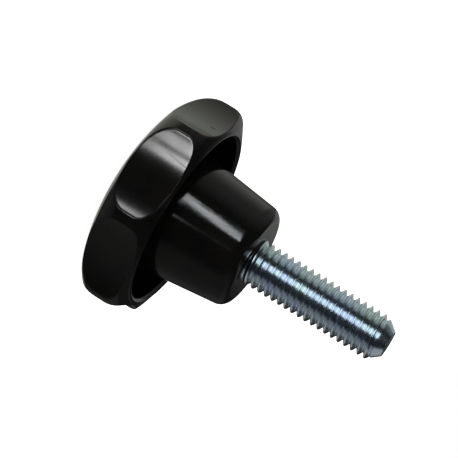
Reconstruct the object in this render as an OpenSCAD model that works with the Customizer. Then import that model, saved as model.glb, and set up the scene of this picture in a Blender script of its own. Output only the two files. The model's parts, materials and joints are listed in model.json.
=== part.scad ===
// Star knob with a screw stud: a lobed moulded knob on a tapered hub, with a zinc-plated
// steel stud moulded into it. Millimetres, +Z along the stud.
// The origin is the centre of the hub's end face, which seats on the work. The stud
// stands above it, and the knob hangs below it and stands on the flat of its head.

/* [Head] */
// Diameter over the ridges between the flutes
head_d = 39; // [37:0.5:44]
// Height of the knob from the hub's end face to the flat of the head
knob_h = 24.5; // [23:0.5:30]
// Diameter of the flat on top of the head
top_flat_d = 10; // [6:0.5:14]
// Rounding where the crown turns down into the side
shoulder_r = 4.8; // [4:0.1:5.5]
// Rounding where the side turns in to the underside
under_r = 2.1; // [1:0.1:2.6]
// Straight height of the ridges between those two roundings
side_h = 1.8; // [0.5:0.1:2.5]

/* [Flutes] */
// Number of finger flutes round the head
flute_count = 7; // [5:1:8]
// Radius of the hollow of each flute
flute_r = 24.3; // [20:0.1:32]
// Depth of a flute below the ridges
flute_depth = 2.8; // [2:0.1:3.2]

/* [Hollow] */
// Distance from the hub's end face back to the crest of the rim
rim_setback = 13; // [11:0.25:14]
// Thinnest wall between a flute and the hollow
rim_wall = 1.5; // [1.4:0.1:2]
// Thickness of the rounded lip round the mouth of the hollow
lip_t = 1.3; // [0.8:0.1:1.3]
// Height of the lip's crest above the underside of the lobes
lip_h = 0.7; // [0.7:0.1:1.2]
// Material left over the hollow, measured at the flat
top_wall = 4; // [3.2:0.1:5]
// Draft of the hollow's outer wall, in degrees
wall_draft = 5; // [1:0.5:6]

/* [Hub] */
// Diameter of the hub at its end face, before rounding
hub_d = 17.8; // [16.5:0.1:19]
// Draft of the hub, in degrees a side
hub_draft = 7; // [2:0.5:8]
// Rounding of the hub's end
hub_end_round = 2.1; // [1:0.1:2.4]
// Gap round the thread in the relief at the hub's end face
relief_gap = 0.3; // [0.2:0.1:0.6]
// Depth of the relief
relief_depth = 0.4; // [0.2:0.1:1]

/* [Stud] */
// Major diameter of the screw thread
thread_d = 8; // [6:0.5:10]
// Distance from one crest of the thread to the next
pitch = 1.25; // [0.8:0.05:1.5]
// Plain length between the hub's end face and the first groove
thread_start = 0.4; // [0.2:0.1:2]
// Length of stud that stands out of the hub
stud_len = 25.4; // [12:0.2:60]
// Length of the pointed end
point_len = 2.1; // [1:0.1:3]
// Diameter of the flat on the pointed end
point_d = 4.5; // [3:0.1:5.5]

/* [Anchor] */
// Diameter of the plain neck inside the hub
neck_d = 7.2; // [5:0.1:8]
// Length of the neck inside the hub
neck_len = 5; // [3:0.5:7]
// Width across flats of the hexagonal head that the knob is moulded round
anchor_af = 11; // [9:0.5:12]
// Length of the hexagonal head
anchor_len = 5.5; // [3:0.5:8]

/* [Hidden] */
$fn = 96;

moulding_colour = "#1b1a19";
zinc_colour = "#b4bbc2";

// Heights, from the hub's end face at zero down to the flat of the head
rim_z = -rim_setback;
under_z = rim_z - lip_h;
side_low_z = under_z - under_r;
side_top_z = side_low_z - side_h;
top_z = -knob_h;
floor_z = top_z + top_wall;

// Head: flat, crown arc, shoulder arc, straight side, under arc
head_r = head_d / 2;
flat_r = top_flat_d / 2;
shoulder_c = [head_r - shoulder_r, side_top_z];
under_c = [head_r - under_r, side_low_z];
// The crown leaves the flat level and runs tangent into the shoulder
crown_run = shoulder_c.x - flat_r;
crown_rise = shoulder_c.y - top_z;
crown_r = (crown_run ^ 2 + crown_rise ^ 2 - shoulder_r ^ 2) / (2 * (crown_rise - shoulder_r));
crown_c = [flat_r, top_z + crown_r];
crown_end = atan2(shoulder_c.y - crown_c.y, shoulder_c.x - crown_c.x);

// Flutes are upright cylinders whose axes stand on one circle
flute_floor_r = head_r - flute_depth;
flute_axis_r = flute_floor_r + flute_r;

// Hollow: a ring between the rim and the hub, with a rounded lip and a round floor
hub_r = hub_d / 2;
cavity_r = flute_floor_r - rim_wall;
lip_c = [cavity_r + lip_t / 2, rim_z - lip_t / 2];
floor_gap = cavity_r_at(floor_z) - hub_r_at(floor_z);
// The floor's arc touches both tapered walls
floor_arc_r = floor_gap
    / (1 / cos(wall_draft) + 1 / cos(hub_draft) - tan(wall_draft) - tan(hub_draft));
floor_arc_z = floor_z + floor_arc_r;
floor_c = [cavity_r_at(floor_arc_z) - floor_arc_r / cos(wall_draft), floor_arc_z];

// Centre of the rounding between the hub's taper and its end face
hub_end_c = [
    hub_r + hub_end_round * (tan(hub_draft) - 1 / cos(hub_draft)),
    -hub_end_round
];

// Thread: parallel grooves with the flank angle, crests and roots of a 60 degree thread
crest_flat = pitch / 8;
root_flat = pitch / 6;
groove_w = pitch - crest_flat;
thread_r = thread_d / 2;
root_r = thread_r - (groove_w - root_flat) / 2 / tan(30);
shank_len = stud_len - point_len;
groove_count = floor((shank_len - thread_start) / pitch);

// How far a cut runs past the faces that it opens
past = 1;

function cavity_r_at(z) = cavity_r - (lip_c.y - z) * tan(wall_draft);
function hub_r_at(z) = hub_r - z * tan(hub_draft);

// Points along an arc about centre c, from angle a to angle b in degrees
function arc(c, r, a, b, steps = 10) = [
    for (i = [0 : steps])
        let (t = a + (b - a) * i / steps)
            c + r * [cos(t), sin(t)]
];

// Half-section of the knob, from the middle of the flat out and round to the hub's face
knob_section = concat(
    [[0, top_z]],
    arc(crown_c, crown_r, -90, crown_end),
    arc(shoulder_c, shoulder_r, crown_end, 0),
    arc(under_c, under_r, 0, 90, 8),
    [[cavity_r + lip_t, under_z]],
    arc(lip_c, lip_t / 2, 0, 180),
    arc(floor_c, floor_arc_r, -wall_draft, hub_draft - 180),
    arc(hub_end_c, hub_end_round, hub_draft, 90, 8),
    [[0, 0]]
);

// Outline of one groove, going up
function groove(i) = let (z = thread_start + i * pitch, middle = z + groove_w / 2) [
    [thread_r, z],
    [root_r, middle - root_flat / 2],
    [root_r, middle + root_flat / 2],
    [thread_r, z + groove_w]
];

// Half-section of the stud outside the knob, from the hub's face up to the point
stud_section = concat(
    [[0, 0], [thread_r, 0]],
    [for (i = [0 : groove_count - 1]) each groove(i)],
    [[thread_r, shank_len], [point_d / 2, stud_len], [0, stud_len]]
);

// The part of the stud that the knob is moulded round
module anchor_form() {
    corner_d = anchor_af / cos(30);
    translate([0, 0, -neck_len]) cylinder(d = neck_d, h = neck_len);
    translate([0, 0, -neck_len - anchor_len]) cylinder(d = corner_d, h = anchor_len, $fn = 6);
}

// Keeps the knob's face clear of the first turn of the thread
module thread_relief() {
    translate([0, 0, -relief_depth])
        cylinder(r = thread_r + relief_gap, h = relief_depth + past);
}

module flute() {
    translate([flute_axis_r, 0, top_z - past])
        cylinder(r = flute_r, h = knob_h - rim_setback + 2 * past);
}

module knob_body() {
    color(moulding_colour)
        difference() {
            rotate_extrude() polygon(knob_section);
            for (i = [0 : flute_count - 1]) rotate(i * 360 / flute_count) flute();
            anchor_form();
            thread_relief();
        }
}

module threaded_stud() {
    color(zinc_colour) {
        anchor_form();
        rotate_extrude() polygon(stud_section);
    }
}

knob_body();
threaded_stud();
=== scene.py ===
"""Looks of a star knob screw: a polished black moulding round a zinc-plated M8 stud.

Everything is built in metres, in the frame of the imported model. The origin is the centre
of the hub's end face, +Z runs along the stud, and the flat of the head is on the floor.
"""

import json
import logging
import math
from collections.abc import Callable
from dataclasses import dataclass
from enum import Enum

import bmesh
import bpy
from mathutils import Matrix, Vector


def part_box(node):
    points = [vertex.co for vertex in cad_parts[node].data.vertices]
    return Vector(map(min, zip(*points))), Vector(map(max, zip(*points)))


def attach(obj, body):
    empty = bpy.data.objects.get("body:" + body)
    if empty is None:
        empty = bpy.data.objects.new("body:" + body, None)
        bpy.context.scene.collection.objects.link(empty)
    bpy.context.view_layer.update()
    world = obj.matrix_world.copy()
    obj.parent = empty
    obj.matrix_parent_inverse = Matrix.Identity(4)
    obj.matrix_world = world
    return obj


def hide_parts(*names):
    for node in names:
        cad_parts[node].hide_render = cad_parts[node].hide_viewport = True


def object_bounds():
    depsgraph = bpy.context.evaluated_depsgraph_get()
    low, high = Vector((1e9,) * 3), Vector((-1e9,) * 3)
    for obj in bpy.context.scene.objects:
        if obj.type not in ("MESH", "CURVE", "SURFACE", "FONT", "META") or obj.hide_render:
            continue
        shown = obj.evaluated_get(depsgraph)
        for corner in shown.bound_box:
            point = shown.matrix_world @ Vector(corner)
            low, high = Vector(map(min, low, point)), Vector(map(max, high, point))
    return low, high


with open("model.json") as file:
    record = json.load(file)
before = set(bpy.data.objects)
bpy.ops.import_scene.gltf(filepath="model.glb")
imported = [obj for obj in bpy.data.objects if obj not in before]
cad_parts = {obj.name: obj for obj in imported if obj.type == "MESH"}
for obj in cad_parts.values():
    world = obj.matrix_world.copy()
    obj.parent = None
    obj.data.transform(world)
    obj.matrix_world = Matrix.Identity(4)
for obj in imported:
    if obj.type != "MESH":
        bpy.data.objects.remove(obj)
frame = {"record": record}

CAD_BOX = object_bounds()
BODY = "root"
MM = 0.001
MICRON = 1e-6

# Points nearer to each other than this are one point.
TOUCHING = 0.1 * MICRON
# Turns of a thread join over this, and heights that differ by less are level.
LEVEL = 1 * MICRON
# How far the floor lies below the object, so that the two faces don't lie in one plane.
FLOOR_GAP = 10 * MICRON
# How far the real crests of a thread stay inside its nominal radius.
THREAD_ALLOWANCE = 0.05 * MM
# Energy of an area lamp of 1 square metre whose face shows as white.
LAMP_ENERGY = 4.0
# Colour sockets of a Mix node.
MIX_FACTOR, MIX_A, MIX_B, MIX_RESULT = 0, 6, 7, 2

Point = tuple[float, float]
Profile = list[Point]
Color = tuple[float, float, float]
Edges = list[bmesh.types.BMEdge]
Socket = bpy.types.NodeSocket
Value = Socket | Vector | float | tuple[float, ...]

log = logging.getLogger("star_knob_screw")


class Slot(Enum):
    """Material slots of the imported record."""

    MOULDING = "black_moulding"
    ZINC = "zinc_steel"


class Subject(Enum):
    """What a studio light reaches: one piece, by its name, or everything."""

    KNOB = "moulded_star_knob"
    STUD = "zinc_stud"
    ALL = "everything"


class Sense(Enum):
    """Which way a screw thread winds."""

    RIGHT_HAND = 1
    LEFT_HAND = -1


# ---------------------------------------------------------------- shared geometry


def arc(centre: Point, radius: float, start: float, end: float, steps: int) -> Profile:
    """Points of a circular arc in the (radius, height) plane.

    Args:
        centre: Centre of the arc.
        radius: Radius of the arc.
        start: First angle in degrees, 0 pointing outwards and 90 up.
        end: Last angle in degrees.
        steps: Number of equal steps between the two ends.

    Returns:
        steps + 1 points, both ends included.
    """
    points = []
    for i in range(steps + 1):
        angle = math.radians(start + (end - start) * i / steps)
        points.append((centre[0] + radius * math.cos(angle), centre[1] + radius * math.sin(angle)))
    return points


def held_run(start: Point, end: Point, steps: int, hold: float = 0.02) -> Profile:
    """Points of a straight run, its two ends left out.

    Args:
        start: Where the run starts.
        end: Where it ends.
        steps: Number of equal steps between the two.
        hold: Share of the run after which a point holds the shading flat, at both ends.

    Returns:
        The points from start to end.
    """
    shares = [hold, *(i / steps for i in range(1, steps)), 1 - hold]
    return [(start[0] + (end[0] - start[0]) * t, start[1] + (end[1] - start[1]) * t) for t in shares]


def soft_min(a: float, b: float, reach: float) -> tuple[float, float]:
    """The smaller of two lengths, with the corner where they cross rounded off.

    Args:
        a: First length.
        b: Second length.
        reach: Difference between the two at which the rounding starts.

    Returns:
        The rounded minimum, and how near the corner is, from 0 to 1.
    """
    share = min(max(0.5 + 0.5 * (b - a) / reach, 0.0), 1.0)
    corner = share * (1 - share)
    return b + (a - b) * share - reach * corner, 4 * corner


def soft_max(a: float, b: float, reach: float) -> float:
    """The larger of two lengths, with the corner where they cross rounded off."""
    return -soft_min(-a, -b, reach)[0]


def polar(point: Vector) -> tuple[float, float]:
    """Distance of a point from the Z axis and its angle about it, in radians."""
    return math.hypot(point.x, point.y), math.atan2(point.y, point.x)


def set_polar(vert: bmesh.types.BMVert, radius: float, angle: float) -> None:
    """Moves a vertex to a radius and an angle about the Z axis, at its own height."""
    vert.co.x = radius * math.cos(angle)
    vert.co.y = radius * math.sin(angle)


def spin_profile(mesh: bmesh.types.BMesh, profile: Profile, steps: int, rise: float = 0.0) -> None:
    """Spins a profile one full turn about +Z.

    Args:
        mesh: Mesh that takes the new surface.
        profile: Radius and height of each point of the profile.
        steps: Number of steps in the turn.
        rise: Height gained in the turn, for a screw surface.
    """
    verts = [mesh.verts.new((r, 0, z)) for r, z in profile]
    edges = [mesh.edges.new(pair) for pair in zip(verts, verts[1:])]
    bmesh.ops.spin(
        mesh,
        geom=verts + edges,
        cent=(0, 0, 0),
        axis=(0, 0, 1),
        dvec=(0, 0, rise / steps),
        angle=math.tau,
        steps=steps,
        use_merge=not rise,
    )


def to_piece(
    mesh: bmesh.types.BMesh, name: str, material: bpy.types.Material, crease: float
) -> bpy.types.Object:
    """Turns a finished bmesh into a shown piece with smooth shading.

    Args:
        mesh: Closed mesh in its place, freed by this call.
        name: Name of the piece.
        material: Its finish.
        crease: Angle in degrees above which an edge is shaded sharp.

    Returns:
        The new object, linked to the scene.
    """
    bmesh.ops.recalc_face_normals(mesh, faces=mesh.faces)
    for face in mesh.faces:
        face.smooth = True
    data = bpy.data.meshes.new(name)
    mesh.to_mesh(data)
    mesh.free()
    data.set_sharp_from_angle(angle=math.radians(crease))
    data.materials.append(material)
    piece = bpy.data.objects.new(name, data)
    bpy.context.scene.collection.objects.link(piece)
    return piece


def hand_over(piece: bpy.types.Object, node: str) -> None:
    """Puts a piece in the place of a CAD node, on the only body.

    Args:
        piece: The finished piece.
        node: Name of the CAD node that it replaces.
    """
    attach(piece, BODY)
    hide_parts(node)
    log.info("%s: %d faces", piece.name, len(piece.data.polygons))


# ---------------------------------------------------------------- shader graphs


class Graph:
    """A thin layer over a node tree, so that a shader reads as a list of steps."""

    def __init__(self, tree: bpy.types.NodeTree) -> None:
        """Starts on a tree, which keeps the nodes that it has."""
        self.tree = tree

    def add(self, kind: str, **settings: object) -> bpy.types.Node:
        """Adds a node.

        Args:
            kind: Blender's name for the node type.
            **settings: Properties of the node, set by name.

        Returns:
            The new node.
        """
        node = self.tree.nodes.new(kind)
        for key, value in settings.items():
            setattr(node, key, value)
        return node

    def join(self, source: Socket, target: Socket) -> None:
        """Links an output to an input."""
        self.tree.links.new(source, target)

    def feed(self, socket: Socket, value: Value) -> None:
        """Gives an input its value.

        Args:
            socket: The input.
            value: An output to link, or a constant.
        """
        if isinstance(value, Socket):
            self.join(value, socket)
        else:
            socket.default_value = value

    def maths(self, operation: str, a: Value, b: Value = 0.0) -> Socket:
        """Adds a Math node.

        Args:
            operation: Blender's name for the operation.
            a: First value.
            b: Second value, which some operations leave out.

        Returns:
            The result.
        """
        node = self.add("ShaderNodeMath", operation=operation)
        self.feed(node.inputs[0], a)
        self.feed(node.inputs[1], b)
        return node.outputs[0]

    def add_up(self, first: Socket, *parts: tuple[Value, float]) -> Socket:
        """Adds masks to a value, each times its own amount.

        Args:
            first: The value to start from.
            *parts: A mask and its amount, for each term.

        Returns:
            The sum.
        """
        total = first
        for mask, amount in parts:
            total = self.maths("ADD", total, self.maths("MULTIPLY", mask, amount))
        return total

    def vector_maths(self, operation: str, a: Value, b: Value | None = None) -> bpy.types.Node:
        """Adds a Vector Math node.

        Args:
            operation: Blender's name for the operation.
            a: First vector.
            b: Second vector, if the operation has one.

        Returns:
            The node, with the outputs Vector and Value.
        """
        node = self.add("ShaderNodeVectorMath", operation=operation)
        self.feed(node.inputs[0], a)
        if b is not None:
            self.feed(node.inputs[1], b)
        return node

    def noise(self, vector: Value, scale: Value, detail: float, roughness: float = 0.5) -> Socket:
        """Adds a Noise Texture.

        Args:
            vector: Where the noise is read.
            scale: Waves in a metre.
            detail: Number of finer octaves.
            roughness: How strong the finer octaves are.

        Returns:
            The noise, from 0 to 1.
        """
        node = self.add("ShaderNodeTexNoise")
        self.feed(node.inputs["Vector"], vector)
        self.feed(node.inputs["Scale"], scale)
        node.inputs["Detail"].default_value = detail
        node.inputs["Roughness"].default_value = roughness
        return node.outputs[0]

    def stretch(self, vector: Value, scale: tuple[float, float, float]) -> Socket:
        """Scales a vector.

        Args:
            vector: The vector.
            scale: Factor along each axis.

        Returns:
            The scaled vector.
        """
        node = self.add("ShaderNodeMapping")
        self.feed(node.inputs["Vector"], vector)
        node.inputs["Scale"].default_value = scale
        return node.outputs[0]

    def remap(
        self, value: Value, low: Value, high: Value, to_low: Value = 0.0, to_high: Value = 1.0
    ) -> Socket:
        """Maps a range to another, with soft ends.

        Args:
            value: The value to map.
            low: Value that maps to to_low, as everything beyond it does.
            high: Value that maps to to_high, as everything beyond it does.
            to_low: Result at low.
            to_high: Result at high.

        Returns:
            The mapped value.
        """
        node = self.add("ShaderNodeMapRange", interpolation_type="SMOOTHSTEP")
        labels = ("Value", "From Min", "From Max", "To Min", "To Max")
        for label, item in zip(labels, (value, low, high, to_low, to_high)):
            self.feed(node.inputs[label], item)
        return node.outputs[0]

    def blend(self, factor: Value, a: Value, b: Value, mode: str = "MIX") -> Socket:
        """Mixes two colours.

        Args:
            factor: Share of the second colour.
            a: First colour.
            b: Second colour.
            mode: Blender's name for the way of mixing.

        Returns:
            The mixed colour.
        """
        node = self.add("ShaderNodeMix", data_type="RGBA", blend_type=mode)
        for index, item in ((MIX_FACTOR, factor), (MIX_A, a), (MIX_B, b)):
            self.feed(node.inputs[index], item)
        return node.outputs[MIX_RESULT]

    def grey(self, value: Value) -> Socket:
        """Makes a grey colour of a value.

        Args:
            value: Its red, green and blue.

        Returns:
            The colour.
        """
        node = self.add("ShaderNodeCombineColor")
        for channel in node.inputs:
            self.feed(channel, value)
        return node.outputs[0]

    def bump(self, height: Value, depth: float, normal: Socket | None = None) -> Socket:
        """Turns a height from 0 to 1 into a normal.

        Args:
            height: The height output.
            depth: Real depth of the relief in metres.
            normal: Normal that the relief adds to, if any.

        Returns:
            The new normal.
        """
        node = self.add("ShaderNodeBump")
        node.inputs["Strength"].default_value = 1.0
        node.inputs["Distance"].default_value = depth
        self.feed(node.inputs["Height"], height)
        if normal is not None:
            self.feed(node.inputs["Normal"], normal)
        return node.outputs[0]

    def group(self, tree: bpy.types.NodeTree, **values: Value) -> Socket:
        """Places a shared node group with its own values.

        Args:
            tree: The group.
            **values: Its inputs, named in small letters with underscores.

        Returns:
            The group's only output.
        """
        node = self.add("ShaderNodeGroup", node_tree=tree)
        for key, value in values.items():
            self.feed(node.inputs[key.replace("_", " ").title()], value)
        return node.outputs[0]


class SharedEffects:
    """Surface effects that several finishes use, each a node group built once."""

    def __init__(self) -> None:
        """Builds the groups."""
        self.ripple = self._ripple()
        self.scuffs = self._scuffs()
        self.tone = self._tone()

    @staticmethod
    def _new(
        name: str, numbers: tuple[str, ...], colors: tuple[str, ...], output: tuple[str, str]
    ) -> tuple[Graph, dict[str, Socket], Socket]:
        """Makes an empty group that reads a vector.

        Args:
            name: Name of the group.
            numbers: Names of its number inputs.
            colors: Names of its colour inputs.
            output: Name and socket type of its output.

        Returns:
            The graph, the group's inputs by name, and its output.
        """
        tree = bpy.data.node_groups.new(name, "ShaderNodeTree")
        inputs = {"Vector": "NodeSocketVector"}
        inputs |= {label: "NodeSocketFloat" for label in numbers}
        inputs |= {label: "NodeSocketColor" for label in colors}
        for label, kind in inputs.items():
            tree.interface.new_socket(name=label, in_out="INPUT", socket_type=kind)
        tree.interface.new_socket(name=output[0], in_out="OUTPUT", socket_type=output[1])
        graph = Graph(tree)
        given = graph.add("NodeGroupInput").outputs
        result = graph.add("NodeGroupOutput").inputs[output[0]]
        return graph, {label: given[label] for label in inputs}, result

    def _ripple(self) -> bpy.types.NodeTree:
        """Slow waviness with a finer grain on it.

        Returns:
            The group, which puts out a height.
        """
        graph, given, height = self._new(
            "surface_ripple", ("Wave Scale", "Grain Scale", "Grain Share"), (), ("Height", "NodeSocketFloat")
        )
        wave = graph.noise(given["Vector"], given["Wave Scale"], detail=1.0)
        grain = graph.noise(given["Vector"], given["Grain Scale"], detail=2.0)
        graph.join(graph.add_up(wave, (grain, given["Grain Share"])), height)
        return graph.tree

    def _scuffs(self) -> bpy.types.NodeTree:
        """Fine hairlines in a few patches.

        Returns:
            The group, which puts out a mask.
        """
        graph, given, mask = self._new(
            "handling_scuffs", ("Line Scale", "Patch Scale", "Width"), (), ("Mask", "NodeSocketFloat")
        )
        lines = graph.noise(given["Vector"], given["Line Scale"], detail=1.0)
        off_line = graph.maths("ABSOLUTE", graph.maths("SUBTRACT", lines, 0.5))
        hairline = graph.remap(off_line, low=0.0, high=given["Width"], to_low=1.0, to_high=0.0)
        patches = graph.noise(given["Vector"], given["Patch Scale"], detail=2.0)
        patch = graph.remap(patches, low=0.5, high=0.66)
        graph.join(graph.maths("MULTIPLY", hairline, patch), mask)
        return graph.tree

    def _tone(self) -> bpy.types.NodeTree:
        """A drift between two tones.

        Returns:
            The group, which puts out a colour.
        """
        graph, given, color = self._new(
            "tone_drift", ("Scale",), ("Tone", "Other Tone"), ("Color", "NodeSocketColor")
        )
        clouds = graph.noise(given["Vector"], given["Scale"], detail=3.0, roughness=0.6)
        drift = graph.remap(clouds, low=0.35, high=0.65)
        graph.join(graph.blend(drift, given["Tone"], given["Other Tone"]), color)
        return graph.tree


def new_surface(name: str) -> tuple[bpy.types.Material, Graph, bpy.types.Node, Socket]:
    """Starts a material on a Principled BSDF.

    Args:
        name: Name of the material.

    Returns:
        The material, its graph, its Principled BSDF and the Object coordinates.
    """
    material = bpy.data.materials.new(name)
    material.use_nodes = True
    graph = Graph(material.node_tree)
    shader = material.node_tree.nodes["Principled BSDF"]
    place = graph.add("ShaderNodeTexCoord").outputs["Object"]
    return material, graph, shader, place


@dataclass(frozen=True)
class PolishedMoulding:
    """Black phenolic moulding, polished by its mould and lightly handled.

    Attributes:
        tone: Colour of most of the surface.
        warm_tone: Browner colour that it drifts to.
        edge_tone: Bare resin along the rubbed edge of one flute.
        roughness: Lowest roughness of clean polish.
        roughness_spread: What cloudier patches add to it.
        scuffed: Roughness that hairlines add.
        edge_haze: Roughness that handling adds along the edges of the flutes.
        head_haze: Roughness that handling adds all over the head.
        scratched: Roughness inside the scratch.
        scratch_at: Middle of the scratch.
        scratch_width: Reach of the scratch to both sides.
        scratch_length: Length of the scratch along the axis.
        index: Index of refraction of the resin.
        ripple_depth: Depth of the mould's waviness.
        grain_depth: Depth of the finer grain on the hub, which the mould polished less.
        hub_reach: Distance from the axis at which the hub ends.
        hub_fade: Distance over which the hub's grain gives way to the head's haze.
        head_grain: Share of the grain that is left on the head.
    """

    tone: Color = (0.0024, 0.0025, 0.0025)
    warm_tone: Color = (0.0038, 0.0036, 0.0031)
    edge_tone: Color = (0.05, 0.016, 0.011)
    roughness: float = 0.09
    roughness_spread: float = 0.05
    scuffed: float = 0.12
    edge_haze: float = 0.25
    head_haze: float = 0.035
    scratched: float = 0.8
    scratch_at: tuple[float, float, float] = (11.06 * MM, -12.56 * MM, -15.35 * MM)
    scratch_width: float = 0.17 * MM
    scratch_length: float = 1.4 * MM
    index: float = 1.5
    ripple_depth: float = 0.9 * MICRON
    grain_depth: float = 2.2 * MICRON
    hub_reach: float = 11.5 * MM
    hub_fade: float = 1.0 * MM
    head_grain: float = 0.12

    def build(self, effects: SharedEffects) -> bpy.types.Material:
        """Builds the material.

        Args:
            effects: The effects that it shares with other finishes.

        Returns:
            The material.
        """
        material, graph, shader, place = new_surface("polished_moulding")
        flat = graph.stretch(place, (1.0, 1.0, 0.0))
        off_axis = graph.vector_maths("LENGTH", flat).outputs["Value"]
        graph.feed(shader.inputs["Base Color"], self._resin(graph, effects, place))
        graph.feed(shader.inputs["Roughness"], self._haze(graph, effects, place, off_axis))
        graph.feed(shader.inputs["Normal"], self._relief(graph, effects, place, off_axis))
        shader.inputs["IOR"].default_value = self.index
        return material

    def _resin(self, graph: Graph, effects: SharedEffects, place: Socket) -> Socket:
        """Colour of the resin, with chips of bare resin along the rubbed edge.

        Args:
            graph: The material's graph.
            effects: The shared effects.
            place: The Object coordinates.

        Returns:
            The colour.
        """
        tones = {"tone": (*self.tone, 1), "other_tone": (*self.warm_tone, 1)}
        tone = graph.group(effects.tone, vector=place, scale=220.0, **tones)
        rubbed = graph.add("ShaderNodeAttribute", attribute_name="rubbed_edge").outputs["Fac"]
        flakes = graph.noise(place, scale=260.0, detail=3.0, roughness=0.7)
        chips = graph.remap(flakes, low=0.4, high=0.6)
        return graph.blend(graph.maths("MULTIPLY", rubbed, chips), tone, (*self.edge_tone, 1))

    def _haze(self, graph: Graph, effects: SharedEffects, place: Socket, off_axis: Socket) -> Socket:
        """Roughness of the polish, with hairlines, worn edges and the scratch.

        Args:
            graph: The material's graph.
            effects: The shared effects.
            place: The Object coordinates.
            off_axis: Distance from the stud's axis.

        Returns:
            The roughness.
        """
        along = graph.stretch(place, (1.0, 1.0, 0.12))
        scuffs = graph.group(effects.scuffs, vector=along, line_scale=900.0, patch_scale=160.0, width=0.02)
        clouds = graph.noise(place, scale=140.0, detail=3.0)
        wear = graph.add("ShaderNodeAttribute", attribute_name="edge_wear").outputs["Fac"]
        dullest = self.roughness + self.roughness_spread
        return graph.add_up(
            graph.remap(clouds, low=0.4, high=0.75, to_low=self.roughness, to_high=dullest),
            (scuffs, self.scuffed),
            (wear, self.edge_haze),
            (graph.remap(off_axis, self.hub_reach, self.hub_reach + self.hub_fade), self.head_haze),
            (self._scratch(graph, place), self.scratched),
        )

    def _relief(self, graph: Graph, effects: SharedEffects, place: Socket, off_axis: Socket) -> Socket:
        """The mould's waviness, with a finer grain on the hub.

        Args:
            graph: The material's graph.
            effects: The shared effects.
            place: The Object coordinates.
            off_axis: Distance from the stud's axis.

        Returns:
            The normal.
        """
        ripple = graph.group(
            effects.ripple, vector=place, wave_scale=420.0, grain_scale=1300.0, grain_share=0.15
        )
        reach = (self.hub_reach, self.hub_reach + self.hub_fade)
        grain = graph.maths(
            "MULTIPLY",
            graph.noise(place, scale=2400.0, detail=2.0),
            graph.remap(off_axis, *reach, to_low=1.0, to_high=self.head_grain),
        )
        return graph.bump(grain, self.grain_depth, normal=graph.bump(ripple, self.ripple_depth))

    def _scratch(self, graph: Graph, place: Socket) -> Socket:
        """The one short scratch, which runs along the axis on a flute.

        Args:
            graph: The material's graph.
            place: The Object coordinates.

        Returns:
            A mask, which is 1 inside the scratch.
        """
        offset = graph.vector_maths("SUBTRACT", place, self.scratch_at).outputs["Vector"]
        across, along = 1 / self.scratch_width, 2 / self.scratch_length
        reach = graph.vector_maths("LENGTH", graph.stretch(offset, (across, across, along)))
        return graph.remap(reach.outputs["Value"], low=0.5, high=1.0, to_low=1.0, to_high=0.0)


@dataclass(frozen=True)
class ZincPlate:
    """Bright zinc plate with a bluish passivate, over rolled steel.

    Attributes:
        blue_tone: Cooler tone of the plate.
        straw_tone: Warmer, greener tone that it drifts to.
        roughness: Lowest roughness of the plate.
        roughness_spread: What the patches add to it.
        scuffed: Roughness that hairlines add.
        grain_depth: Depth of the grain left by rolling.
    """

    blue_tone: Color = (0.51, 0.585, 0.70)
    straw_tone: Color = (0.53, 0.62, 0.63)
    roughness: float = 0.17
    roughness_spread: float = 0.06
    scuffed: float = 0.15
    grain_depth: float = 0.15 * MICRON

    def build(self, effects: SharedEffects) -> bpy.types.Material:
        """Builds the material.

        Args:
            effects: The effects that it shares with other finishes.

        Returns:
            The material.
        """
        material, graph, shader, place = new_surface("zinc_plate")
        tones = {"tone": (*self.blue_tone, 1), "other_tone": (*self.straw_tone, 1)}
        graph.feed(shader.inputs["Base Color"], graph.group(effects.tone, vector=place, scale=260.0, **tones))
        shader.inputs["Metallic"].default_value = 1.0

        along = graph.stretch(place, (1.0, 1.0, 5.0))
        patches = graph.noise(along, scale=700.0, detail=3.0)
        dullest = self.roughness + self.roughness_spread
        satin = graph.remap(patches, low=0.35, high=0.7, to_low=self.roughness, to_high=dullest)
        scuffs = graph.group(effects.scuffs, vector=along, line_scale=600.0, patch_scale=200.0, width=0.02)
        graph.feed(shader.inputs["Roughness"], graph.add_up(satin, (scuffs, self.scuffed)))
        ripple = graph.group(
            effects.ripple, vector=along, wave_scale=900.0, grain_scale=3200.0, grain_share=0.3
        )
        graph.feed(shader.inputs["Normal"], graph.bump(ripple, self.grain_depth))
        return material


@dataclass(frozen=True)
class WhitePaper:
    """Matt white paper on the floor, which glows a little for the camera and keeps the shadow.

    Attributes:
        shades: Darkest and lightest shade of its fibres.
        roughness: Its roughness.
        glow: Light that it adds to what it scatters, as the camera sees it.
    """

    shades: tuple[float, float] = (0.86, 0.88)
    roughness: float = 0.9
    glow: float = 0.955

    def build(self) -> bpy.types.Material:
        """Builds the material.

        Returns:
            The material.
        """
        material, graph, shader, place = new_surface("white_paper")
        fibres = graph.noise(place, scale=60.0, detail=4.0)
        fibres = graph.remap(fibres, low=0.3, high=0.7, to_low=self.shades[0], to_high=self.shades[1])
        graph.feed(shader.inputs["Base Color"], graph.grey(fibres))
        shader.inputs["Roughness"].default_value = self.roughness
        shader.inputs["Emission Color"].default_value = (1, 1, 1, 1)
        seen = graph.add("ShaderNodeLightPath").outputs["Is Camera Ray"]
        graph.feed(shader.inputs["Emission Strength"], graph.maths("MULTIPLY", seen, self.glow))
        return material


# ---------------------------------------------------------------- the two pieces


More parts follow.
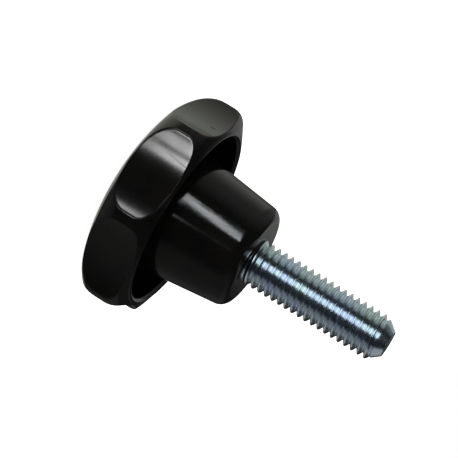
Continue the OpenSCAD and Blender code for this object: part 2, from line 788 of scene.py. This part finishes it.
@dataclass
class KnobBody:
    """The moulding: lobed head, hollow underside and tapered hub, in one piece.

    Attributes:
        finish: Its material.
        head_radius: Radius over the ridges between the flutes.
        top_z: Height of the flat of the head.
        flat_radius: Radius of that flat.
        shoulder_radius: Rounding between crown and side.
        under_radius: Rounding between side and underside.
        under_slope: Rise of the underside towards the lip, in degrees.
        lip_blend: How far round the lip the underside runs into it, in degrees from its crest.
        side_height: Straight height of the ridges.
        flutes: Number of finger flutes.
        flute_radius: Radius of the hollow of each flute.
        flute_depth: Depth of a flute below the ridges.
        edge_reach: Reach of the rounding along the edges of the flutes.
        rubbed_flute: Number of the flute whose lower edge is rubbed, counted from +X.
        rubbed_from: Height over which that edge is rubbed.
        rubbed_reach: Reach of the rubbed patch along the edge.
        rim_setback: Height of the hub's face over the crest of the rim.
        rim_wall: Thinnest wall between a flute and the hollow.
        lip_thickness: Thickness of the rounded lip.
        lip_height: Height of the lip over the end of the rounding below it.
        top_wall: Material over the hollow, measured at the flat.
        wall_draft: Draft of the hollow's outer wall, in degrees.
        hub_radius: Radius of the hub at its face, before rounding.
        hub_draft: Draft of the hub, in degrees.
        hub_end_round: Rounding of the hub's end.
        bore_radius: Radius of the bore round the neck.
        seat_grip: How much tighter the bore is at the face, where it fills the roots of the thread.
        bore_depth: Depth of the socket that holds the stud's head.
        steps: Steps round the axis, a multiple of twice the flutes.
        crowding: How much closer the steps stand at the ridges, from 0 to 1.
    """

    finish: bpy.types.Material
    head_radius: float
    top_z: float
    flat_radius: float = 5.0 * MM
    shoulder_radius: float = 4.8 * MM
    under_radius: float = 2.1 * MM
    under_slope: float = 14.0
    lip_blend: float = 50.0
    side_height: float = 1.8 * MM
    flutes: int = 7
    flute_radius: float = 24.3 * MM
    flute_depth: float = 2.8 * MM
    edge_reach: float = 0.12 * MM
    rubbed_flute: int = -1
    rubbed_from: float = -15.0 * MM
    rubbed_reach: float = 0.35 * MM
    rim_setback: float = 13.0 * MM
    rim_wall: float = 1.5 * MM
    lip_thickness: float = 1.3 * MM
    lip_height: float = 0.7 * MM
    top_wall: float = 4.0 * MM
    wall_draft: float = 5.0
    hub_radius: float = 8.9 * MM
    hub_draft: float = 7.0
    hub_end_round: float = 2.1 * MM
    bore_radius: float = 3.6 * MM
    seat_grip: float = 0.2 * MM
    bore_depth: float = 10.5 * MM
    steps: int = 490
    crowding: float = 0.6

    @property
    def flute_floor(self) -> float:
        """Distance from the axis to the bottom of a flute."""
        return self.head_radius - self.flute_depth

    @property
    def mouth_radius(self) -> float:
        """Radius of the hollow at its mouth."""
        return self.flute_floor - self.rim_wall

    def hub_at(self, z: float) -> float:
        """Radius of the hub's taper at a height."""
        return self.hub_radius - z * math.tan(math.radians(self.hub_draft))

    def _head_profile(self) -> Profile:
        """Outside of the head.

        Returns:
            Its section, from the middle of the flat to the crest of the lip.
        """
        under_z = -self.rim_setback - self.lip_height
        low_z = under_z - self.under_radius
        high_z = low_z - self.side_height
        shoulder = (self.head_radius - self.shoulder_radius, high_z)
        side_run = shoulder[0] - self.flat_radius
        rise = high_z - self.top_z
        crown_radius = (side_run**2 + rise**2 - self.shoulder_radius**2) / (2 * (rise - self.shoulder_radius))
        crown = (self.flat_radius, self.top_z + crown_radius)
        turn = math.degrees(math.atan2(shoulder[1] - crown[1], shoulder[0] - crown[0]))
        under = (self.head_radius - self.under_radius, low_z)
        lip = self._lip_centre()
        under_arc = arc(under, self.under_radius, 0, 90 - self.under_slope, steps=26)
        lip_arc = arc(lip, self.lip_thickness / 2, 90 - self.lip_blend, 90, steps=8)
        return [
            (0.0, self.top_z),
            *held_run((0.0, self.top_z), (self.flat_radius, self.top_z), steps=2),
            *arc(crown, crown_radius, -90, turn, steps=12),
            *arc(shoulder, self.shoulder_radius, turn, 0, steps=44)[1:],
            *held_run((self.head_radius, high_z), (self.head_radius, low_z), steps=10),
            *under_arc,
            *held_run(under_arc[-1], lip_arc[0], steps=9),
            *lip_arc,
        ]

    def _lip_centre(self) -> Point:
        """Centre of the lip's rounding, in the (radius, height) plane."""
        return self.mouth_radius + self.lip_thickness / 2, -self.rim_setback - self.lip_thickness / 2

    def _hollow_profile(self) -> Profile:
        """Lip, hollow, hub and the socket that grips the stud.

        Returns:
            Their section, from the crest of the lip to the axis.
        """
        lip = self._lip_centre()
        wall, taper = math.radians(self.wall_draft), math.radians(self.hub_draft)
        floor_z = self.top_z + self.top_wall
        outer_at_floor = self.mouth_radius - (lip[1] - floor_z) * math.tan(wall)
        gap = outer_at_floor - self.hub_at(floor_z)
        bend = gap / (1 / math.cos(wall) + 1 / math.cos(taper) - math.tan(wall) - math.tan(taper))
        bend_z = floor_z + bend
        wall_at_bend = self.mouth_radius - (lip[1] - bend_z) * math.tan(wall)
        floor = (wall_at_bend - bend / math.cos(wall), bend_z)
        end_inset = self.hub_end_round * (1 / math.cos(taper) - math.tan(taper))
        end = (self.hub_radius - end_inset, -self.hub_end_round)
        lip_arc = arc(lip, self.lip_thickness / 2, 90, 180, steps=8)[1:]
        floor_arc = arc(floor, bend, -self.wall_draft, self.hub_draft - 180, steps=12)
        end_arc = arc(end, self.hub_end_round, self.hub_draft, 90, steps=16)
        seat = self.bore_radius - self.seat_grip
        return [
            *lip_arc,
            *held_run(lip_arc[-1], floor_arc[0], steps=3),
            *floor_arc,
            *held_run(floor_arc[-1], end_arc[0], steps=6),
            *end_arc,
            *held_run(end_arc[-1], (seat, 0.0), steps=4),
            (seat, 0.0),
            (seat, -self.seat_grip),
            (self.bore_radius, -2 * self.seat_grip),
            (self.bore_radius, -self.bore_depth),
            (0.0, -self.bore_depth),
        ]

    def _crowd_ridges(self, mesh: bmesh.types.BMesh) -> None:
        """Turns the rows of vertices about the axis so that they stand closer at the ridges.

        Args:
            mesh: The spun moulding.
        """
        half = math.pi / self.flutes
        for vert in mesh.verts:
            radius, angle = polar(vert.co)
            centre = 2 * half * round(angle / (2 * half))
            share = (angle - centre) / half
            share += math.copysign(self.crowding, share) * math.sin(math.pi * abs(share)) / math.pi
            set_polar(vert, radius, centre + share * half)

    def _press_flutes(self, mesh: bmesh.types.BMesh) -> None:
        """Presses the flutes into the head, and marks their edges as worn.

        Args:
            mesh: The spun moulding.
        """
        worn = mesh.verts.layers.float.new("edge_wear")
        rubbed = mesh.verts.layers.float.new("rubbed_edge")
        axis_radius = self.flute_floor + self.flute_radius
        sector = math.tau / self.flutes
        inner = self.mouth_radius + self.lip_thickness
        for vert in mesh.verts:
            radius, angle = polar(vert.co)
            if radius <= inner:
                continue
            number = round(angle / sector)
            off = angle - sector * number
            side = axis_radius * math.sin(off)
            flute = axis_radius * math.cos(off) - math.sqrt(self.flute_radius**2 - side**2)
            pressed, vert[worn] = soft_min(radius, flute, self.edge_reach)
            if number == self.rubbed_flute and vert.co.z > self.rubbed_from:
                vert[rubbed] = soft_min(radius, flute, self.rubbed_reach)[1]
            set_polar(vert, pressed, angle)

    def build(self) -> bpy.types.Object:
        """Spins the section and presses the flutes.

        Returns:
            The finished piece.
        """
        mesh = bmesh.new()
        spin_profile(mesh, self._head_profile() + self._hollow_profile(), self.steps)
        bmesh.ops.remove_doubles(mesh, verts=mesh.verts, dist=TOUCHING)
        self._crowd_ridges(mesh)
        self._press_flutes(mesh)
        piece = to_piece(mesh, Subject.KNOB.value, self.finish, crease=40)
        hand_over(piece, "knob_body")
        return piece


@dataclass
class ThreadedStud:
    """The steel stud: rolled thread, chamfered point, plain neck and hexagonal head.

    Attributes:
        finish: Its material.
        crest_radius: Radius over the crests of the thread.
        length: Height of the end face over the hub.
        cone_height: Height at which the chamfered point starts.
        point_radius: Radius of the end face.
        pitch: Advance of the thread in one turn.
        depth_share: Depth of the thread, as a share of the pitch.
        crest_share: Width of a crest, as a share of the pitch.
        flank_slope: Angle of a flank against the radius, in degrees.
        sense: Which way the thread winds.
        crest_at: Height of a crest over +X, which sets the start of the thread.
        crest_reach: Reach of the rounding of the crests.
        root_reach: Reach of the rounding of the roots.
        run_in: Height over the hub in which the thread gains its depth.
        first_depth: Share of its depth that the thread has at the hub.
        thread_start: Height of the thread's lower end, inside the hub.
        spare_turns: Turns rolled past both ends and cut off again.
        core_radius: Radius below which the cone doesn't cut those turns.
        end_hold: Width of the ring that keeps the end face's shading flat.
        neck_radius: Radius of the plain neck inside the hub.
        neck_z: Height of the lower end of the neck.
        head_flats: Half of the hexagonal head's width across flats.
        head_z: Height of the lower end of the hexagonal head.
        rows: Rows of vertices in one pitch.
        gathering: How much closer the rows stand at crests and roots, from 0 to 1.
        steps: Steps in one turn, a multiple of 12.
    """

    finish: bpy.types.Material
    crest_radius: float
    length: float
    cone_height: float
    point_radius: float = 2.25 * MM
    pitch: float = 1.25 * MM
    depth_share: float = 0.6134
    crest_share: float = 0.125
    flank_slope: float = 30.0
    sense: Sense = Sense.RIGHT_HAND
    crest_at: float = 0.477 * MM
    crest_reach: float = 0.13 * MM
    root_reach: float = 0.22 * MM
    run_in: float = 1.6 * MM
    first_depth: float = 0.25
    thread_start: float = -0.6 * MM
    spare_turns: int = 2
    core_radius: float = 0.2 * MM
    end_hold: float = 0.06 * MM
    neck_radius: float = 3.6 * MM
    neck_z: float = -5.0 * MM
    head_flats: float = 5.5 * MM
    head_z: float = -10.5 * MM
    rows: int = 20
    gathering: float = 0.75
    steps: int = 180

    def _thread_radius(self, height: float) -> float:
        """Radius of the thread over +X, from a V with rounded crests and roots.

        Args:
            height: Height over the hub's face.

        Returns:
            The radius at that height.
        """
        turns = (height - self.crest_at) / self.pitch
        off_crest = abs(turns - round(turns)) * self.pitch
        flank = 1 / math.tan(math.radians(self.flank_slope))
        sharp = self.crest_radius + (self.pitch * self.crest_share / 2 - off_crest) * flank
        root = self.crest_radius - self.depth_share * self.pitch
        return soft_max(soft_min(sharp, self.crest_radius, self.crest_reach)[0], root, self.root_reach)

    def _spin_thread(self, mesh: bmesh.types.BMesh) -> None:
        """Spins the thread's profile up one pitch in a turn, so that the turns join.

        Args:
            mesh: Mesh that takes the thread.
        """
        turns = round(self.length / self.pitch) + 2 * self.spare_turns
        profile = []
        for row in range(turns * self.rows):
            turn = row / self.rows
            turn -= self.spare_turns + self.gathering * math.sin(4 * math.pi * turn) / (4 * math.pi)
            height = self.crest_at + self.pitch * turn
            profile.append((self._thread_radius(height), height))
        spin_profile(mesh, profile, self.steps, self.pitch * self.sense.value)
        bmesh.ops.remove_doubles(mesh, verts=mesh.verts, dist=LEVEL)

    def _turn_point(self, mesh: bmesh.types.BMesh) -> None:
        """Cuts the thread back to the cone of the point, and its first turn at the hub.

        Args:
            mesh: The spun thread.
        """
        slope = (self.crest_radius - self.point_radius) / (self.length - self.cone_height)
        for vert in mesh.verts:
            radius, angle = polar(vert.co)
            depth = min(self.first_depth + max(vert.co.z, 0.0) / self.run_in, 1.0)
            radius = self.crest_radius - (self.crest_radius - radius) * depth
            cone = self.point_radius + (self.length - vert.co.z) * slope
            set_polar(vert, min(radius, max(cone, self.core_radius)), angle)

    @staticmethod
    def _trim(mesh: bmesh.types.BMesh, height: float, keep_below: bool) -> None:
        """Cuts the mesh at a height and throws one side away.

        Args:
            mesh: The mesh.
            height: Where it is cut.
            keep_below: Whether the lower side stays.
        """
        bmesh.ops.bisect_plane(
            mesh,
            geom=mesh.verts[:] + mesh.edges[:] + mesh.faces[:],
            dist=TOUCHING,
            plane_co=(0, 0, height),
            plane_no=(0, 0, 1),
            clear_outer=keep_below,
            clear_inner=not keep_below,
        )

    @staticmethod
    def _open_edges(mesh: bmesh.types.BMesh, height: float) -> Edges:
        """The open edges of the mesh that lie at a height."""
        return [
            e for e in mesh.edges
            if e.is_boundary and all(abs(v.co.z - height) < LEVEL for v in e.verts)
        ]

    @staticmethod
    def _draw_ring(
        mesh: bmesh.types.BMesh, edges: Edges, place: Callable[[float, float], Point]
    ) -> Edges:
        """Extrudes a ring of open edges and moves the new ring.

        Args:
            mesh: The mesh.
            edges: The open edges.
            place: Gives the new radius and height from a vertex's old radius and its angle.

        Returns:
            The edges of the new ring, which are open again.
        """
        ring = bmesh.ops.extrude_edge_only(mesh, edges=edges)["geom"]
        for vert in (item for item in ring if isinstance(item, bmesh.types.BMVert)):
            radius, angle = polar(vert.co)
            radius, vert.co.z = place(radius, angle)
            set_polar(vert, radius, angle)
        return [item for item in ring if isinstance(item, bmesh.types.BMEdge)]

    def _close_end(self, mesh: bmesh.types.BMesh) -> None:
        """Closes the end face, with a narrow ring that keeps its shading flat.

        Args:
            mesh: The trimmed thread.
        """
        edges = self._open_edges(mesh, self.length)
        for inset in (self.end_hold, self.point_radius / 2):
            edges = self._draw_ring(mesh, edges, lambda radius, angle: (radius - inset, self.length))
        bmesh.ops.contextual_create(mesh, geom=edges)

    def _hex_radius(self, angle: float) -> float:
        """Distance from the axis to the side of the hexagonal head.

        Args:
            angle: Angle about the axis, in radians.

        Returns:
            The distance at that angle.
        """
        sixth = math.pi / 3
        off = (angle + math.tau) % sixth - sixth / 2
        return self.head_flats / math.cos(off)

    def _grow_anchor(self, mesh: bmesh.types.BMesh) -> None:
        """Draws the open lower end down into the neck and the hexagonal head.

        Args:
            mesh: The thread with its end face.
        """
        edges = self._open_edges(mesh, self.thread_start)
        for height, radius in (
            (self.thread_start, self.neck_radius),
            (self.neck_z, self.neck_radius),
            (self.neck_z, None),
            (self.head_z, None),
            (self.head_z, self.neck_radius / 2),
        ):
            edges = self._draw_ring(
                mesh, edges, lambda _, angle: (radius or self._hex_radius(angle), height)
            )
        bmesh.ops.contextual_create(mesh, geom=edges)

    def build(self) -> bpy.types.Object:
        """Rolls the thread, turns the point and adds the anchor.

        Returns:
            The finished piece.
        """
        mesh = bmesh.new()
        self._spin_thread(mesh)
        self._turn_point(mesh)
        self._trim(mesh, self.length, keep_below=True)
        self._trim(mesh, self.thread_start, keep_below=False)
        self._close_end(mesh)
        self._grow_anchor(mesh)
        piece = to_piece(mesh, Subject.STUD.value, self.finish, crease=55)
        hand_over(piece, "threaded_stud")
        return piece


# ---------------------------------------------------------------- studio


def direction(azimuth: float, elevation: float) -> Vector:
    """Unit vector at an azimuth from +X towards +Y and an elevation, both in degrees."""
    a, e = math.radians(azimuth), math.radians(elevation)
    return Vector((math.cos(a) * math.cos(e), math.sin(a) * math.cos(e), math.sin(e)))


def facing_frame(place: Vector, back: Vector, roll: float) -> Matrix:
    """Placement of a lamp or camera that looks against a direction.

    Args:
        place: Where it stands.
        back: Unit vector from what it looks at towards it.
        roll: Turn about that direction, in degrees, from level.

    Returns:
        The matrix, whose X axis points right, Y up and Z back.
    """
    level_right = Vector((0, 0, 1)).cross(back).normalized()
    level_up = back.cross(level_right)
    turn = math.radians(roll)
    right = level_right * math.cos(turn) + level_up * math.sin(turn)
    return Matrix.Translation(place) @ Matrix((right, back.cross(right), back)).transposed().to_4x4()


@dataclass(frozen=True)
class Softbox:
    """A rectangular studio light that faces the object.

    Attributes:
        name: What it is for.
        azimuth: Where it stands, in degrees from +X.
        elevation: How high it stands over the hub's face, in degrees.
        width: Angle that it covers from side to side, in degrees.
        height: Angle that it covers up and down, in degrees.
        radiance: Brightness of its face, where 1 is white.
        roll: Turn of its face about the line to the object, in degrees.
        subject: What it reaches.
        color: Tint of the light.
        mirrored: Whether glossy surfaces show it.
    """

    name: str
    azimuth: float
    elevation: float
    width: float
    height: float
    radiance: float
    roll: float = 0.0
    subject: Subject = Subject.KNOB
    color: Color = (1.0, 1.0, 1.0)
    mirrored: bool = True

    def place(self, centre: Vector, distance: float) -> None:
        """Adds the light to the scene.

        Args:
            centre: Middle of the object.
            distance: Distance of the light from it.
        """
        back = direction(self.azimuth, self.elevation)
        size_x = 2 * distance * math.tan(math.radians(self.width) / 2)
        size_y = 2 * distance * math.tan(math.radians(self.height) / 2)
        lamp = bpy.data.lights.new(self.name, "AREA")
        lamp.shape = "RECTANGLE"
        lamp.size, lamp.size_y = size_x, size_y
        lamp.color = self.color
        lamp.energy = self.radiance * size_x * size_y * LAMP_ENERGY
        holder = bpy.data.objects.new(self.name, lamp)
        holder.matrix_world = facing_frame(centre + back * distance, back, self.roll)
        holder.visible_glossy = self.mirrored
        if self.subject is not Subject.ALL:
            lit = bpy.data.collections.new(f"lit_by_{self.name}")
            lit.objects.link(bpy.data.objects[self.subject.value])
            holder.light_linking.receiver_collection = lit
        bpy.context.scene.collection.objects.link(holder)


SOFTBOXES = (
    Softbox("hub_bar", azimuth=-17.5, elevation=0.4, width=22.0, height=3.9, radiance=6.5, roll=18.0,
            color=(0.92, 0.96, 1.0)),
    Softbox("hub_glint", azimuth=16.5, elevation=-1.7, width=4.5, height=1.8, radiance=2.2),
    Softbox("flute_strip_near", azimuth=4.2, elevation=-13.1, width=6.2, height=6.0, radiance=16.5),
    Softbox("flute_strip_far", azimuth=14.8, elevation=-13.1, width=8.0, height=6.0, radiance=14.0),
    Softbox("crown_strip", azimuth=20.0, elevation=-36.0, width=14.0, height=12.0, radiance=1.5),
    Softbox("side_strip", azimuth=-44.5, elevation=-22.0, width=6.0, height=22.0, radiance=6.0),
    Softbox("stud_strip", azimuth=-3.0, elevation=5.0, width=33.0, height=112.0, radiance=1.75,
            subject=Subject.STUD, color=(0.94, 0.97, 1.0)),
    Softbox("stud_left", azimuth=-106.0, elevation=0.0, width=98.0, height=70.0, radiance=0.23,
            subject=Subject.STUD, color=(0.98, 1.0, 0.94)),
    Softbox("stud_right", azimuth=100.0, elevation=-12.0, width=56.0, height=64.0, radiance=0.22,
            subject=Subject.STUD, color=(0.92, 0.86, 1.0)),
    Softbox("stud_right_high", azimuth=125.0, elevation=38.0, width=60.0, height=40.0, radiance=0.26,
            subject=Subject.STUD),
    Softbox("overhead", azimuth=0.0, elevation=82.0, width=70.0, height=70.0, radiance=1.0,
            subject=Subject.ALL, mirrored=False),
)


@dataclass(frozen=True)
class Glow:
    """A soft bright region of the room, as glossy surfaces mirror it.

    Attributes:
        azimuth: Its middle, in degrees from +X.
        elevation: Height of its middle, in degrees.
        full: Angle from the middle up to which it has its full strength.
        fade: Angle from the middle at which it has faded out.
        color: Light that it adds, where 1 is white.
    """

    azimuth: float
    elevation: float
    full: float
    fade: float
    color: Color

    def add_to(self, graph: Graph, ray: Socket, behind: Value) -> Socket:
        """Adds the region to a world graph.

        Args:
            graph: The world's graph.
            ray: Direction in which a ray leaves the scene.
            behind: Colour that the region adds to.

        Returns:
            The sum of both colours.
        """
        middle = direction(self.azimuth, self.elevation)
        facing = graph.vector_maths("DOT_PRODUCT", ray, middle).outputs["Value"]
        fade, full = math.cos(math.radians(self.fade)), math.cos(math.radians(self.full))
        return graph.blend(graph.remap(facing, fade, full), behind, (*self.color, 1), mode="ADD")


GLOWS = (
    Glow(azimuth=-112.0, elevation=-42.0, full=10.0, fade=46.0, color=(0.62, 0.64, 0.55)),
    Glow(azimuth=-155.0, elevation=12.0, full=11.0, fade=15.5, color=(0.25, 0.26, 0.25)),
    Glow(azimuth=-100.0, elevation=5.0, full=20.0, fade=60.0, color=(0.19, 0.20, 0.19)),
    Glow(azimuth=118.0, elevation=12.0, full=36.0, fade=60.0, color=(0.075, 0.08, 0.075)),
    Glow(azimuth=-168.0, elevation=-26.0, full=8.0, fade=24.0, color=(0.4, 0.4, 0.38)),
    Glow(azimuth=102.0, elevation=-66.0, full=14.0, fade=40.0, color=(0.12, 0.12, 0.13)),
)


@dataclass(frozen=True)
class Studio:
    """Floor, surroundings, lights and camera.

    Attributes:
        floor_half: Half the width of the floor.
        light_distance: Distance of the softboxes from the object.
        room: Brightness of the dark side of the room, as mirrored.
        ambient: Brightness of the surroundings, as scattered light.
        camera_azimuth: Where the camera stands, in degrees from +X.
        camera_elevation: Angle by which it looks down, in degrees.
        camera_roll: Turn of the camera about its own axis, in degrees.
        camera_distance: Distance to the middle of the object.
        aim: Shift of the camera's aim from the middle of the object, to its right and up.
        lens: Focal length in millimetres.
        sensor: Sensor width in millimetres.
        sight: Nearest and furthest distance that the camera shows.
    """

    floor_half: float = 1.2
    light_distance: float = 1.2
    room: float = 0.016
    ambient: float = 0.35
    camera_azimuth: float = 11.648
    camera_elevation: float = 12.018
    camera_roll: float = 121.751
    camera_distance: float = 0.26881
    aim: tuple[float, float] = (-4.44 * MM, 5.62 * MM)
    lens: float = 130.77
    sensor: float = 36.0
    sight: tuple[float, float] = (0.01, 10.0)

    def floor(self, height: float) -> None:
        """Lays a plain pale floor under the object, which mirrors and lamps pass.

        Args:
            height: Its height.
        """
        mesh = bmesh.new()
        bmesh.ops.create_grid(mesh, x_segments=8, y_segments=8, size=self.floor_half)
        bmesh.ops.translate(mesh, verts=mesh.verts, vec=(0, 0, height))
        data = bpy.data.meshes.new("floor")
        mesh.to_mesh(data)
        mesh.free()
        floor = bpy.data.objects.new("floor", data)
        bpy.context.scene.collection.objects.link(floor)
        data.materials.append(WhitePaper().build())
        floor.visible_glossy = False
        floor.visible_shadow = False

    def surroundings(self) -> None:
        """White for the camera, and for mirrors a dark room with a few soft glows."""
        world = bpy.data.worlds.new("studio_room")
        bpy.context.scene.world = world
        world.use_nodes = True
        graph = Graph(world.node_tree)
        paths = graph.add("ShaderNodeLightPath").outputs
        ray = graph.add("ShaderNodeTexCoord").outputs["Generated"]
        mirrored = (self.room, self.room, self.room, 1)
        for glow in GLOWS:
            mirrored = glow.add_to(graph, ray, mirrored)
        plain = graph.maths("MAXIMUM", paths["Is Camera Ray"], paths["Is Transmission Ray"])
        level = graph.grey(graph.add_up(plain, (paths["Is Diffuse Ray"], self.ambient)))
        sky = world.node_tree.nodes["Background"]
        graph.feed(sky.inputs["Color"], graph.blend(paths["Is Glossy Ray"], level, mirrored))

    def camera(self, centre: Vector) -> None:
        """Sets the camera.

        Args:
            centre: Middle of the object.
        """
        back = direction(self.camera_azimuth, self.camera_elevation)
        aim = facing_frame(centre, back, self.camera_roll) @ Vector((*self.aim, 0))
        data = bpy.data.cameras.new("camera")
        data.lens = self.lens
        data.sensor_width = self.sensor
        data.clip_start, data.clip_end = self.sight
        camera = bpy.data.objects.new("camera", data)
        camera.matrix_world = facing_frame(aim + back * self.camera_distance, back, self.camera_roll)
        bpy.context.scene.collection.objects.link(camera)
        bpy.context.scene.camera = camera

    def build(self, low: Vector, high: Vector) -> None:
        """Builds the whole studio round the object.

        Args:
            low: Lower corner of the object's box.
            high: Upper corner of that box.
        """
        centre = (low + high) / 2
        self.floor(low.z - FLOOR_GAP)
        self.surroundings()
        for softbox in SOFTBOXES:
            softbox.place(centre, self.light_distance)
        self.camera(centre)
        bpy.context.scene.view_settings.view_transform = "Standard"
        log.info("studio: %d lamps, %d glows", len(SOFTBOXES), len(GLOWS))


def mount(name: str) -> dict:
    """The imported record's mount of that name."""
    return next(m for m in frame["record"]["mounts"] if m["name"] == name)


def main() -> None:
    """Builds the knob, the stud and the studio in order."""
    logging.basicConfig(level=logging.INFO, format="%(name)s: %(message)s")
    effects = SharedEffects()
    low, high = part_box("knob_body")
    stud = mount("stud")["dims"]
    KnobBody(
        finish=PolishedMoulding().build(effects),
        head_radius=-low.x,
        top_z=low.z,
    ).build()
    ThreadedStud(
        finish=ZincPlate().build(effects),
        crest_radius=stud["r_mm"] * MM - THREAD_ALLOWANCE,
        length=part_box("threaded_stud")[1].z,
        cone_height=stud["length_mm"] * MM,
    ).build()
    Studio().build(*CAD_BOX)


if __name__ == "__main__":
    main()
